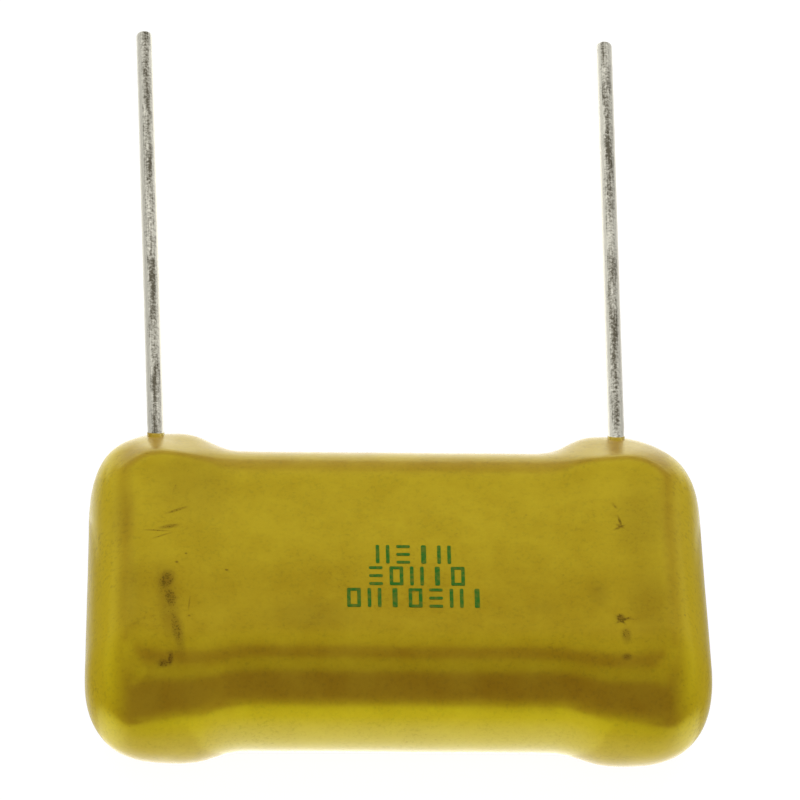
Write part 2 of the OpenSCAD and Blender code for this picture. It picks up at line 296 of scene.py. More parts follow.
def dipped_resin(s):
    """Hard mustard resin, dipped and baked: a glossy skin with soft patches, specks and rubbed-in dirt, and
    painted light: a painted highlight over both ends, a painted reflection along the lower plain side and
    painted shade along the ends' rounding.
    """
    material, add, place = new_material("dipped_resin")
    patches = add("ShaderNodeTexNoise", {
        "Vector": place, "Scale": per(3), "Detail": 5.0, "Roughness": 0.65})
    patch_mask = add("ShaderNodeMapRange", {"Value": patches, "From Min": 0.36, "From Max": 0.64})
    resin = add("ShaderNodeMix", {"Factor": patch_mask, "A": s.resin, "B": s.ochre}, data_type="RGBA")

    # Painted highlight over both ends, in place of the light they catch, and a painted reflection of the
    # lit table as a pale rim along the lower plain side
    split = add("ShaderNodeSeparateXYZ", {0: place})
    from_middle = add("ShaderNodeMath", {0: split.outputs["X"], 1: COAT_MIDDLE.x}, operation="SUBTRACT")
    from_middle = add("ShaderNodeMath", {0: from_middle}, operation="ABSOLUTE")
    ends = add("ShaderNodeMapRange", {
        "Value": from_middle, "From Min": 15.5 * MM, "From Max": 17.1 * MM},
        interpolation_type="SMOOTHSTEP")
    below = add("ShaderNodeMapRange", {
        "Value": split.outputs["Z"], "From Min": 5.8 * MM, "From Max": 3.2 * MM, "To Max": 0.4})
    plain_side = add("ShaderNodeMapRange", {
        "Value": split.outputs["Y"], "From Min": -7 * MM, "From Max": -8 * MM})
    between = add("ShaderNodeMapRange", {
        "Value": from_middle, "From Min": 12 * MM, "From Max": 8.5 * MM, "To Min": 0.4},
        interpolation_type="SMOOTHSTEP")
    rim = add("ShaderNodeMath", {0: below, 1: plain_side}, operation="MULTIPLY")
    rim = add("ShaderNodeMath", {0: rim, 1: between}, operation="MULTIPLY")

    # Small dark specks, one in some of the cells
    cells = add("ShaderNodeTexVoronoi", {"Vector": place, "Scale": per(1.0)})
    kind = add("ShaderNodeSeparateColor", {0: cells.outputs["Color"]})
    speck_size = add("ShaderNodeMapRange", {
        "Value": kind.outputs["Red"], "From Min": 0.5, "From Max": 1.0, "To Max": 0.09})
    speck_edge = add("ShaderNodeMath", {0: speck_size, 1: cells.outputs["Distance"]}, operation="SUBTRACT")
    specks = add("ShaderNodeMapRange", {"Value": speck_edge, "From Max": 0.04, "To Max": 0.45})

    # Faint brown flecks, more in some places than in others
    flecks = add("ShaderNodeTexNoise", {
        "Vector": place, "Scale": per(0.24), "Detail": 3.0, "Roughness": 0.65})
    fleck_mask = add("ShaderNodeMapRange", {
        "Value": flecks, "From Min": 0.5, "From Max": 0.72, "To Max": 0.42})
    dusty = add("ShaderNodeMapRange", {"Value": patches, "From Min": 0.4, "From Max": 0.6, "To Min": 0.35})
    fleck_mask = add("ShaderNodeMath", {0: fleck_mask, 1: dusty}, operation="MULTIPLY")
    # Lays on the painted highlight at the ends, the painted reflection along the rim and the brown flecks
    for mask, tint in ((ends, s.thin), (rim, s.pale), (fleck_mask, s.haze_and_shade)):
        resin = add("ShaderNodeMix", {"Factor": mask, "A": resin, "B": tint}, data_type="RGBA")

    # A matt brown film with darker crumbs where the face is rubbed; the same film paints shade along the
    # rounding of the two ends
    dirt_and_shade = rubbing_and_shade_mask(add, place)
    crumbs = add("ShaderNodeTexNoise", {
        "Vector": place, "Scale": per(0.1), "Detail": 2.0, "Roughness": 0.6})
    crumb_level = add("ShaderNodeMapRange", {"Value": dirt_and_shade, "To Min": 0.78, "To Max": 0.42})
    crumb_depth = add("ShaderNodeMath", {0: crumbs, 1: crumb_level}, operation="SUBTRACT")
    crumb_mask = add("ShaderNodeMapRange", {"Value": crumb_depth, "From Max": 0.1, "To Max": 0.8})
    film = add("ShaderNodeMath", {0: dirt_and_shade, 1: 0.56}, operation="MULTIPLY")
    dirt = add("ShaderNodeMath", {0: crumb_mask, 1: film}, operation="MAXIMUM")
    dirt = add("ShaderNodeMath", {0: dirt, 1: specks}, operation="MAXIMUM")
    dirt_colour = add("ShaderNodeMix", {"Factor": crumb_mask, "A": s.haze_and_shade, "B": s.grime}, data_type="RGBA")

    grain = add("ShaderNodeTexNoise", {"Vector": place, "Scale": per(0.5), "Detail": 4.0})
    gloss = add("ShaderNodeMapRange", {
        "Value": grain, "From Min": 0.3, "From Max": 0.7, "To Min": 0.19, "To Max": 0.27})
    peel = add("ShaderNodeTexNoise", {"Vector": place, "Scale": per(1.3), "Detail": 2.0})
    skin = add("ShaderNodeBump", {"Height": peel, "Strength": 0.2, "Distance": 0.05 * MM})
    # A yellow sheen: the gloss keeps the colour of the resin
    shader = add("ShaderNodeBsdfPrincipled", {
        "Base Color": resin, "Roughness": gloss, "Normal": skin, "IOR": 1.3,
        "Specular Tint": (6.0, 6.3, 0.0, 1.0)})
    matt = add("ShaderNodeBsdfDiffuse", {"Color": dirt_colour})
    layered = add("ShaderNodeMixShader", {0: dirt, 1: shader, 2: matt})
    add("ShaderNodeOutputMaterial", {"Surface": layered})
    return material


def dull_tin(s):
    """Hot-tinned wire gone dull: a grainy grey metal, pitted and streaked lengthwise, with a painted dark
    reflection along its top.
    """
    material, add, place = new_material("dull_tinned_wire")
    facing = add("ShaderNodeNewGeometry")
    upward = add("ShaderNodeVectorMath", {
        0: facing.outputs["True Normal"], 1: (0.08, 0, 1)}, operation="DOT_PRODUCT")
    grain = add("ShaderNodeTexNoise", {
        "Vector": place, "Scale": per(0.16), "Detail": 3.0, "Roughness": 0.6})
    along = add("ShaderNodeMapping", {"Vector": place, "Scale": (1, 0.1, 1)})
    streaks = add("ShaderNodeTexNoise", {"Vector": along, "Scale": per(0.28), "Detail": 3.0})
    # Painted dark reflection: more of the dark colour where the wire faces up, so its top comes out darker
    tarnish = add("ShaderNodeMapRange", {
        "Value": upward, "From Min": 0.66, "From Max": 1.0, "To Min": -0.34, "To Max": 0.22})
    stain_and_shade = add("ShaderNodeMath", {0: grain, 1: streaks}, operation="ADD")
    stain_and_shade = add("ShaderNodeMath", {0: stain_and_shade, 1: tarnish}, operation="ADD")
    stain_and_shade_mask = add("ShaderNodeMapRange", {
        "Value": stain_and_shade, "From Min": 0.9, "From Max": 1.35, "To Max": 0.95})
    metal = add("ShaderNodeMix", {"Factor": stain_and_shade_mask, "A": s.tin, "B": s.oxide_and_shade}, data_type="RGBA")
    rough = add("ShaderNodeMapRange", {"Value": grain, "To Min": 0.35, "To Max": 0.6})
    pits = add("ShaderNodeBump", {"Height": grain, "Strength": 0.38, "Distance": 0.04 * MM})
    shader = add("ShaderNodeBsdfPrincipled", {
        "Base Color": metal, "Roughness": rough, "Normal": pits, "Metallic": 1.0})
    add("ShaderNodeOutputMaterial", {"Surface": shader})
    return material


def two_tone(name, first, second, millimetres, roughness, metallic, squash=(1, 1, 1), shine=0.5):
    """Two colours that meet in a soft pattern, squashed along an axis for layers or drawn metal."""
    material, add, place = new_material(name)
    scaled = add("ShaderNodeMapping", {"Vector": place, "Scale": squash})
    pattern = add("ShaderNodeTexNoise", {"Vector": scaled, "Scale": per(millimetres), "Detail": 4.0})
    mask = add("ShaderNodeMapRange", {"Value": pattern, "From Min": 0.4, "From Max": 0.65})
    tone = add("ShaderNodeMix", {"Factor": mask, "A": first, "B": second}, data_type="RGBA")
    rough = add("ShaderNodeMapRange", {
        "Value": pattern, "To Min": roughness - 0.1, "To Max": roughness + 0.15})
    shader = add("ShaderNodeBsdfPrincipled", {
        "Base Color": tone, "Roughness": rough, "Metallic": metallic, "Specular IOR Level": shine})
    add("ShaderNodeOutputMaterial", {"Surface": shader})
    return material


def start_piece(name):
    """Names the new primitive, applies its place and leaves it as the active object."""
    piece = bpy.context.object
    piece.name = name
    piece.data.name = name
    bpy.ops.object.transform_apply(location=True, rotation=True, scale=True)
    return piece


def pick(piece, kind, test):
    """In edit mode, leaves selected only the verts, edges or faces that pass the test."""
    if bpy.context.mode != "EDIT_MESH":
        bpy.ops.object.mode_set(mode="EDIT")
    bpy.ops.mesh.select_mode(type=kind)
    bpy.ops.mesh.select_all(action="DESELECT")
    mesh = bmesh.from_edit_mesh(piece.data)
    items = {"VERT": mesh.verts, "EDGE": mesh.edges, "FACE": mesh.faces}[kind]
    found = [item for item in items if test(item)]
    if not found:
        raise RuntimeError(f"nothing to pick on {piece.name}")
    for item in found:
        item.select_set(True)
    mesh.select_flush_mode()
    bmesh.update_edit_mesh(piece.data)


def cut_across(place, normal):
    """Cuts the whole piece along a plane."""
    bpy.ops.mesh.select_all(action="SELECT")
    bpy.ops.mesh.bisect(plane_co=place, plane_no=normal)


def finish_piece(piece, material, node):
    """Gives a finished piece its material and its body, and hides the node that it stands for."""
    piece.data.materials.append(material)
    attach(piece, "root")
    if node:
        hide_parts(node)


def apply_modifier(piece, kind, **settings):
    """Adds a modifier and applies it."""
    modifier = piece.modifiers.new(kind.lower(), kind)
    for key, value in settings.items():
        setattr(modifier, key, value)
    bpy.context.view_layer.objects.active = piece
    bpy.ops.object.modifier_apply(modifier=modifier.name)


def clouds(name, millimetres):
    """A soft procedural relief of this size."""
    texture = bpy.data.textures.new(name, "CLOUDS")
    texture.noise_scale = millimetres * MM
    texture.noise_depth = 1
    return texture


def ease(t):
    """A smooth step from 0 to 1."""
    c = min(1.0, max(0.0, t))
    return c * c * (3 - 2 * c)


TINY = 0.01 * MM
SMOOTH_ANGLE = math.radians(50)


def lead_line(name):
    """The point where a lead's mount starts and the direction of its axis."""
    mount = LEAD_MOUNTS[name]
    return Vector(mount["pos_m"]), Vector(mount["axis"]).normalized()


class CAPACITOR_OT_resin_coat(bpy.types.Operator):
    """Model the dipped resin body"""

    bl_idname = "capacitor.resin_coat"
    bl_label = "Resin coat"

    SEGMENTS = 12
    CORNER_SEGMENTS = 8
    STATIONS = 27
    ROWS = 12
    COLLAR_SIDES = 32
    # Half the width of the middle strip that the crown lifts whole
    CROWN_HALF = 0.5 * MM
    # Filling of the outline's four corners: side, end and share
    CORNER_SHARES = ((-1, 1, 0.9), (1, 1, -0.15), (-1, -1, 1.0), (1, -1, 0.8))
    # Part of it that goes along the body, at the lead side and at the plain side
    ALONG = {1: 0.1, -1: 0.2}
    # Part of the corner radius, round the corner, that moves whole
    CORNER_CORE = 0.52
    # Squaring of the upper face's two corners over the leads: side and share
    FACE_SHARES = ((-1, 1.0), (1, 0.65))
    FACE_ALONG = 0.35
    FACE_CORE = 1.2 * MM
    # From the end to such a corner, as a part of the end rounding
    FACE_END = 0.7

    def execute(self, context):
        s = context.scene.capacitor_coat
        coat = self.rounded_block(s)
        self.full_ends(coat, s)
        self.end_corners(coat, s)
        for x in self.stations:
            self.draw_in(coat, s, x)
        bpy.ops.object.mode_set(mode="OBJECT")
        apply_modifier(coat, "SUBSURF", levels=2, render_levels=2)
        self.raise_crown(coat, s)
        self.taper(coat, s)
        self.fill_corners(coat, s)
        self.square_face(coat, s)
        apply_modifier(coat, "DISPLACE", texture=clouds("dip_ripple", 5), texture_coords="LOCAL",
                       strength=s.ripple, mid_level=1.0)
        bpy.ops.object.shade_smooth()
        resin = dipped_resin(s)
        finish_piece(coat, resin, "resin_coat")
        for name in LEAD_MOUNTS:
            self.collar(s, name, resin)
        return {"FINISHED"}

    def rounded_block(self, s):
        """A block with rounded corners and rims, cut into rows and stations."""
        self.rim = -COAT_LOW.y - s.plain_margin
        self.half_len = (COAT_HIGH.x - COAT_LOW.x) / 2 + s.end_taper * s.corner_radius / COAT_DEPTH
        self.top = COAT_HIGH.z - s.crown
        self.mid_z = COAT_HIGH.z / 2
        self.upper = self.top - self.mid_z
        self.straight_x = self.half_len - s.corner_radius
        self.straight_y = self.rim - s.corner_radius
        self.face_y = self.rim - s.edge_radius - TINY
        bpy.ops.mesh.primitive_cube_add(
            size=1, location=(COAT_MIDDLE.x, 0, self.top / 2),
            scale=(2 * self.half_len, 2 * self.rim, self.top))
        coat = start_piece("dipped_coat")
        pick(coat, "EDGE", lambda e: abs(e.verts[0].co.z - e.verts[1].co.z) > self.top / 2)
        bpy.ops.mesh.bevel(
            offset=s.corner_radius, segments=self.CORNER_SEGMENTS, affect="EDGES", clamp_overlap=False)
        pick(coat, "EDGE", lambda e: abs(e.verts[0].co.z - e.verts[1].co.z) < TINY)
        bpy.ops.mesh.bevel(
            offset=s.edge_radius, segments=self.SEGMENTS, affect="EDGES", clamp_overlap=False)
        pick(coat, "VERT", lambda v: v.co.z > self.top / 2)
        bpy.ops.transform.resize(value=(1, 1, self.upper / s.edge_radius), center_override=(0, 0, self.top))
        self.wall_z = (self.mid_z + s.edge_radius) / 2
        self.square_up(coat, s)

        self.stations = [
            COAT_MIDDLE.x + self.straight_x * (2 * i / self.STATIONS - 1) for i in range(self.STATIONS + 1)]
        for x in self.stations:
            cut_across((x, 0, 0), (1, 0, 0))
        for i in range(self.ROWS + 1):
            cut_across((0, self.straight_y * (2 * i / self.ROWS - 1), 0), (0, 1, 0))
        return coat

    def square_up(self, coat, s):
        """Brings the ends of the four corners' arcs onto the lines where the straight sides start."""
        near = s.corner_radius / self.CORNER_SEGMENTS
        for side in (-1, 1):
            x = COAT_MIDDLE.x + side * self.straight_x
            pick(coat, "VERT", lambda v: abs(v.co.x - x) < near and (x - v.co.x) * side > -TINY
                 and abs(v.co.y) > self.straight_y + TINY)
            bpy.ops.transform.resize(value=(0, 1, 1), center_override=(x, 0, 0))
            y = side * self.straight_y
            pick(coat, "VERT", lambda v: abs(v.co.y - y) < near and (y - v.co.y) * side > -TINY
                 and abs(v.co.x - COAT_MIDDLE.x) > self.straight_x + TINY)
            bpy.ops.transform.resize(value=(1, 0, 1), center_override=(0, y, 0))

    def lead_in(self, s, height):
        """How far the slope over the leads lies inside the widest line, by the height above it."""
        slope = s.lead_slope
        drop = max(0.0, self.upper - height)
        bend_drop = s.lead_bend * (1 - math.cos(slope))
        foot_rise = s.lead_foot * math.cos(slope)
        foot_in = s.lead_foot * (1 - math.sin(slope))
        if height < foot_rise:
            return s.lead_foot - math.sqrt(s.lead_foot ** 2 - height ** 2)
        if drop > bend_drop:
            return foot_in + (height - foot_rise) / math.tan(slope)
        straight = (self.upper - bend_drop - foot_rise) / math.tan(slope)
        whole = foot_in + straight + s.lead_bend * math.sin(slope)
        return whole - math.sqrt(drop * (2 * s.lead_bend - drop))

    def ring(self, s, i, up):
        """The height of one ring of the rounding and how far a plain rounding draws it in."""
        a = math.pi / 2 * i / self.SEGMENTS
        z = self.mid_z + self.upper * math.sin(a) if up else s.edge_radius * (1 - math.sin(a))
        return z, s.edge_radius * (1 - math.cos(a))

    def side_y(self, s, i, side, up, waist):
        """How far one ring lies from the middle on one long side: plain in the waist, wider on bulges."""
        z, drawn = self.ring(s, i, up)
        if side < 0:
            bulge = drawn * s.bulge_run / s.edge_radius if up else drawn
            return self.rim - s.waist_in * waist - bulge * (1 - waist) - drawn * waist
        bulge = self.lead_in(s, z - self.mid_z) if up else drawn
        return COAT_HIGH.y - s.waist_in_lead * waist - bulge * (1 - waist) - drawn * waist

    def full_ends(self, coat, s):
        """Makes the upper rounding of the two ends narrower, ring by ring."""
        for i in range(1, self.SEGMENTS + 1):
            z, drawn = self.ring(s, i, True)
            plain = s.corner_radius - drawn
            full = s.corner_radius - drawn * s.end_run / s.edge_radius
            for side in (-1, 1):
                start = COAT_MIDDLE.x + side * self.straight_x
                pick(coat, "VERT", lambda v: (v.co.x - COAT_MIDDLE.x) * side > self.straight_x + TINY
                     and abs(v.co.z - z) < TINY)
                bpy.ops.transform.resize(value=(full / plain, 1, 1), center_override=(start, 0, 0))

    def end_corners(self, coat, s):
        """Fits the four corners, ring by ring, to the long sides."""
        for side in (-1, 1):
            for up in (True, False):
                for i in range(self.SEGMENTS + 1):
                    z, drawn = self.ring(s, i, up)
                    share = self.side_y(s, i, side, up, 0) / (self.rim - drawn)
                    pick(coat, "VERT", lambda v: abs(v.co.x - COAT_MIDDLE.x) > self.straight_x + TINY
                         and v.co.y * side > TINY and abs(v.co.z - z) < TINY)
                    bpy.ops.transform.resize(value=(1, share, 1), center_override=(0, 0, 0))

    def waist_at(self, s, x, side):
        """How far one cross-section belongs to the waist on one long side, from 0 to 1."""
        middle = COAT_MIDDLE.x - (s.waist_shift if side > 0 else 0)
        return 1 - ease((abs(x - middle) - s.waist_half) / s.shoulder)

    def draw_in(self, coat, s, x):
        """Gives one cross-section its width: full on the bulges, drawn in and dipped in the waist."""
        for side in (-1, 1):
            waist = self.waist_at(s, x, side)
            for up in (True, False):
                face_z = self.top if up else 0
                share = self.side_y(s, self.SEGMENTS, side, up, waist) / (self.rim - s.edge_radius)
                pick(coat, "VERT", lambda v: abs(v.co.x - x) < TINY and TINY < v.co.y * side < self.face_y
                     and abs(v.co.z - face_z) < TINY)
                bpy.ops.transform.resize(value=(1, share, 1), center_override=(x, 0, 0))
                for i in range(self.SEGMENTS + 1):
                    z, drawn = self.ring(s, i, up)
                    pick(coat, "VERT", lambda v: abs(v.co.x - x) < TINY and v.co.y * side > self.face_y
                         and abs(v.co.z - z) < TINY)
                    shift = self.side_y(s, i, side, up, waist) - self.rim + drawn
                    bpy.ops.transform.translate(value=(0, side * shift, 0))
        waist = self.waist_at(s, x, -1)
        if waist > 0:
            pick(coat, "VERT", lambda v: abs(v.co.x - x) < TINY and v.co.z > self.wall_z)
            bpy.ops.transform.resize(
                value=(1, 1, 1 - s.waist_dip * waist / self.mid_z), center_override=(x, 0, self.mid_z))

    def raise_crown(self, coat, s):
        """Lifts the middle of the upper face a little, fading out towards the long sides."""
        self.push(coat, (0, 0, s.crown), s.crown_reach, lambda v: abs(v.co.y) < self.CROWN_HALF
                  and v.co.z > self.wall_z and abs(v.co.x - COAT_MIDDLE.x) < self.straight_x)

    def taper(self, coat, s):
        """Makes each end shorter towards the lead side, where the resin drained off."""
        coat.data.transform(Matrix.Translation((-COAT_MIDDLE.x, self.rim, 0)))
        apply_modifier(coat, "SIMPLE_DEFORM", deform_method="TAPER", deform_axis="Y", lock_z=True,
                       factor=-s.end_taper / self.half_len)
        coat.data.transform(Matrix.Translation((COAT_MIDDLE.x, -self.rim, 0)))

    def fill_corners(self, coat, s):
        """Fills out the four corners unevenly, as the resin gathered round the clamps."""
        for side, end, share in self.CORNER_SHARES:
            corner = Vector((COAT_MIDDLE.x + side * self.half_len, end * self.rim, self.mid_z))
            fill = share * s.corner_fill
            move = (side * fill * self.ALONG[end], end * fill, 0)
            core = self.CORNER_CORE * s.corner_radius
            self.push(coat, move, s.fill_reach, lambda v: (v.co - corner).length < core)

    def square_face(self, coat, s):
        """Squares up the two corners of the upper face where the slope over the leads meets the ends."""
        edge_y = self.side_y(s, self.SEGMENTS - 1, 1, True, 0)
        for side, share in self.FACE_SHARES:
            corner_x = COAT_MIDDLE.x + side * (self.half_len - self.FACE_END * s.end_run)
            corner = Vector((corner_x, edge_y, self.top))
            fill = share * s.face_fill
            move = (self.FACE_ALONG * side * fill, fill, 0)
            self.push(coat, move, s.fill_reach, lambda v: (v.co - corner).length < self.FACE_CORE)

    def push(self, coat, move, reach, test):
        """Moves the resin that passes the test, and what lies within reach a little less."""
        pick(coat, "VERT", test)
        bpy.ops.transform.translate(
            value=move, use_proportional_edit=True, proportional_size=reach,
            proportional_edit_falloff="SMOOTH")
        bpy.ops.object.mode_set(mode="OBJECT")

    def collar(self, s, name, resin):
        """The resin that climbed a little way up one wire: a flared ring, trimmed along the slope."""
        start, along = lead_line(name)
        leave = start - along * s.tin_from_coat
        lean = math.asin((leave.z - self.mid_z) / s.lead_foot)
        outward = Vector((0, math.cos(lean), math.sin(lean)))
        bpy.ops.mesh.primitive_cone_add(
            vertices=self.COLLAR_SIDES, radius1=s.collar_foot, radius2=s.collar_top, depth=s.collar_length,
            location=leave, rotation=Vector((0, 0, 1)).rotation_difference(along).to_euler())
        collar = start_piece(name.replace("lead", "resin_collar"))
        bpy.ops.object.mode_set(mode="EDIT")
        bpy.ops.mesh.select_all(action="SELECT")
        bpy.ops.mesh.bisect(
            plane_co=leave + outward * s.collar_rise, plane_no=outward, use_fill=True, clear_outer=True)
        bpy.ops.object.mode_set(mode="OBJECT")
        bpy.ops.object.shade_smooth_by_angle(angle=SMOOTH_ANGLE)
        finish_piece(collar, resin, None)


# Rows of printed marks from the lead side: x of the first mark in mm, then the kind of each mark
PRINT_ROWS = (
    (-0.48, ("bars", "dashes", "block", "bars")),
    (-0.9, ("dashes", "frame", "bars", "block", "frame")),
    (-2.2, ("frame", "bars", "block", "frame", "dashes", "bars", "block")),
)


class CAPACITOR_OT_ink_marks(bpy.types.Operator):
    """Print three rows of plain green marks on the upper face"""

    bl_idname = "capacitor.ink_marks"
    bl_label = "Ink marks"

    # In strokes: width of a block and rounding of a stroke's corners
    BLOCK = 1.4
    ROUNDING = 0.4

    def execute(self, context):
        s = context.scene.capacitor_ink
        coat = bpy.data.objects["dipped_coat"]
        bpy.ops.mesh.primitive_plane_add(size=1, location=(0, 0, COAT_HIGH.z))
        marks = start_piece("ink_marks")
        bpy.ops.object.mode_set(mode="EDIT")
        bpy.ops.mesh.select_all(action="SELECT")
        bpy.ops.mesh.delete(type="VERT")
        for row, (first, kinds) in enumerate(PRINT_ROWS):
            y = -s.last_row + s.row_pitch * (len(PRINT_ROWS) - 1 - row)
            for i, kind in enumerate(kinds):
                for across, up, width, height in self.strokes(s, kind):
                    self.stroke(s, first * MM + i * s.mark_pitch + across, y + up, width, height)
        bpy.ops.mesh.select_all(action="SELECT")
        bpy.ops.mesh.subdivide(number_cuts=2)
        bpy.ops.object.mode_set(mode="OBJECT")
        apply_modifier(marks, "SHRINKWRAP", target=coat, wrap_method="PROJECT", use_project_z=True,
                       use_negative_direction=True, use_positive_direction=False, offset=s.thickness)
        apply_modifier(marks, "SOLIDIFY", thickness=2 * s.thickness, offset=-1)
        # Stamped ink: matt green, thin and olive in places
        ink = two_tone("worn_green_ink", s.ink, s.worn, 0.35, 0.5, 0.0, shine=0.1)
        finish_piece(marks, ink, None)
        return {"FINISHED"}

    def strokes(self, s, kind):
        """The strokes of one kind of mark: offset across and up from its middle, width and height."""
        side = (s.mark_width - s.stroke) / 2
        top = (s.mark_height - s.stroke) / 2
        upright = [(-side, 0, s.stroke, s.mark_height), (side, 0, s.stroke, s.mark_height)]
        level = [(0, top, s.mark_width, s.stroke), (0, -top, s.mark_width, s.stroke)]
        return {
            "bars": upright,
            "dashes": level + [(0, 0, s.mark_width, s.stroke)],
            "frame": upright + level,
            "block": [(0, 0, self.BLOCK * s.stroke, s.mark_height)],
        }[kind]

    def stroke(self, s, x, y, width, height):
        """One flat stroke with rounded ends."""
        bpy.ops.mesh.select_all(action="DESELECT")
        place = (x, y, COAT_HIGH.z)
        bpy.ops.mesh.primitive_plane_add(size=s.stroke, location=place)
        bpy.ops.transform.resize(value=(width / s.stroke, height / s.stroke, 1), center_override=place)
        bpy.ops.mesh.bevel(offset=self.ROUNDING * s.stroke, segments=3, affect="VERTICES")


class CAPACITOR_OT_inner_pieces(bpy.types.Operator):
    """Give the pieces inside the resin their materials"""

    bl_idname = "capacitor.inner_pieces"
    bl_label = "Inner pieces"

    def execute(self, context):
        s = context.scene.capacitor_inner
        # Split mica: brown plates with darker gaps, seen as fine layers from the side
        mica = two_tone("silvered_mica", s.mica, s.mica_edge, 2.0, 0.4, 0.0, squash=(1, 1, 12))
        # Soft foil: bright metal with dull patches
        foil = two_tone("soft_foil", s.foil, s.dull, 1.5, 0.3, 1.0)
        # Sheet brass: yellow metal with brown tarnish, drawn along the body
        brass = two_tone("sheet_brass", s.brass, s.tarnish, 1.2, 0.35, 1.0, squash=(0.3, 1, 1))
        # Solder: grey metal with dull patches
        solder = two_tone("dull_solder", s.solder, s.dull, 0.6, 0.4, 1.0)
        for start, material in {"mica": mica, "foil": foil, "clamp": brass, "solder": solder}.items():
            for name, node in frame["nodes"].items():
                if name.startswith(start):
                    node.data.materials.clear()
                    node.data.materials.append(material)
        return {"FINISHED"}


class CAPACITOR_OT_wire_leads(bpy.types.Operator):
    """Model the two tinned wire leads"""

    bl_idname = "capacitor.wire_leads"
    bl_label = "Wire leads"

    SIDES = 24
    CUTS = 90
    TIP_SEGMENTS = 3

    def execute(self, context):
        s = context.scene.capacitor_lead
        material = dull_tin(s)
        for node in LEAD_MOUNTS:
            self.wire(node, s, material)
        return {"FINISHED"}

    def wire(self, node, s, material):
        """One lead: the tinned stretch, then the bare wire that goes into the body."""
        start, along = lead_line(node)
        radius = LEAD_MOUNTS[node]["dims"]["r_mm"] * MM
        low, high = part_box(node)
        reach = radius * math.hypot(along.x, along.z)
        tip = (high.y - start.y) / along.y
        inner = (low.y + reach - start.y) / along.y
        tin_start = tip - s.tip_round - LEAD_MOUNTS[node]["dims"]["length_mm"] * MM
        turn = Vector((0, 0, 1)).rotation_difference(along).to_euler()
        bpy.ops.mesh.primitive_cylinder_add(
            vertices=self.SIDES, radius=radius, depth=tip - tin_start,
            location=start + along * (tip + tin_start) / 2, rotation=turn)
        lead = start_piece(node.replace("lead", "tinned_wire"))

        def height(co):
            return (co - start).dot(along)

        pick(lead, "EDGE", lambda e: abs(height(e.verts[0].co) - height(e.verts[1].co)) > TINY)
        bpy.ops.mesh.subdivide(number_cuts=self.CUTS)
        pick(lead, "EDGE", lambda e: all(height(v.co) > tip - TINY for v in e.verts))
        bpy.ops.mesh.bevel(offset=s.tip_round, segments=self.TIP_SEGMENTS, affect="EDGES")
        pick(lead, "FACE", lambda f: height(f.calc_center_median()) < tin_start + TINY)
        bpy.ops.mesh.extrude_region_move(TRANSFORM_OT_translate={"value": -along * s.tin_taper})
        wire_start = tin_start - s.tin_taper
        thin = s.wire_radius / radius
        bpy.ops.transform.resize(value=(thin, thin, thin), center_override=start + along * wire_start)
        bpy.ops.mesh.extrude_region_move(TRANSFORM_OT_translate={"value": along * (inner - wire_start)})
        bpy.ops.object.mode_set(mode="OBJECT")
        tinned = lead.vertex_groups.new(name="tinned")
        tinned.add([v.index for v in lead.data.vertices if height(v.co) > tin_start + TINY], 1.0, "REPLACE")
        apply_modifier(lead, "DISPLACE", texture=clouds("tin_lumps", 0.5), texture_coords="LOCAL",
                       strength=s.lumps, mid_level=1.0, vertex_group="tinned")
        bpy.ops.object.shade_smooth_by_angle(angle=SMOOTH_ANGLE)
        finish_piece(lead, material, node)


# Softboxes on the arch from the camera's horizon (0) over the top (90) to the far one (180): name, degrees
# on the arch, distance, width and height in mm, setting of the radiance and share of it. Layers of unlike
# width give two of them soft sides.
SOFTBOXES = (
    ("horizon_softbox", 175.8, 250, 360, 37, "horizon_light", 1),
    ("low_softbox", 155, 200, 260, 78, "low_light", 1),
    ("far_softbox_1", 135.5, 200, 200, 60, "far_light", 1 / 3),
    ("far_softbox_2", 135.5, 203, 310, 60, "far_light", 1 / 3),
    ("far_softbox_3", 135.5, 206, 420, 60, "far_light", 1 / 3),
    ("top_softbox", 107.5, 200, 300, 103, "high_light", 1),
    ("near_softbox_1", 63.5, 220, 140, 82, "near_light", 1 / 3),
    ("near_softbox_2", 63.5, 223, 215, 82, "near_light", 1 / 3),
    ("near_softbox_3", 63.5, 226, 290, 82, "near_light", 1 / 3),
    ("near_horizon", 4.2, 250, 300, 35, "near_horizon", 1),
)
# Lamps that hang left and right: name, direction of the right one, distance, width and height in mm,
# setting of the radiance and the rays that don't see them
SIDE_LAMPS = (
    ("fill", (1, 0, 0.08), 100, 70, 60, "side_fill", "visible_glossy"),
    ("corner_card", (0.62, -0.18, 0.76), 200, 150, 60, "corner_card", "visible_diffuse"),
)
# Lamps on the table that light the part from below, and white cards there that only its gloss shows: name,
# start along Y, then depth, width and height over the floor in mm, setting of the radiance and share of it
TABLE_LAMPS = (
    ("near_table", COAT_LOW.y + 3 * MM, -200, 60, 0.2, "near_table", 1),
    ("far_table", COAT_HIGH.y + 1 * MM, 120, 36, 0.2, "far_table", 1),
)
TABLE_CARDS = (
    ("near_card_1", COAT_LOW.y + 3 * MM, -200, 20, 0.4, "near_card", 0.65),
    ("near_card_2", COAT_LOW.y + 3 * MM, -200, 50, 0.6, "near_card", 0.35),
    ("far_card", COAT_HIGH.y - 2 * MM, 120, 52, 0.4, "far_card", 1),
)


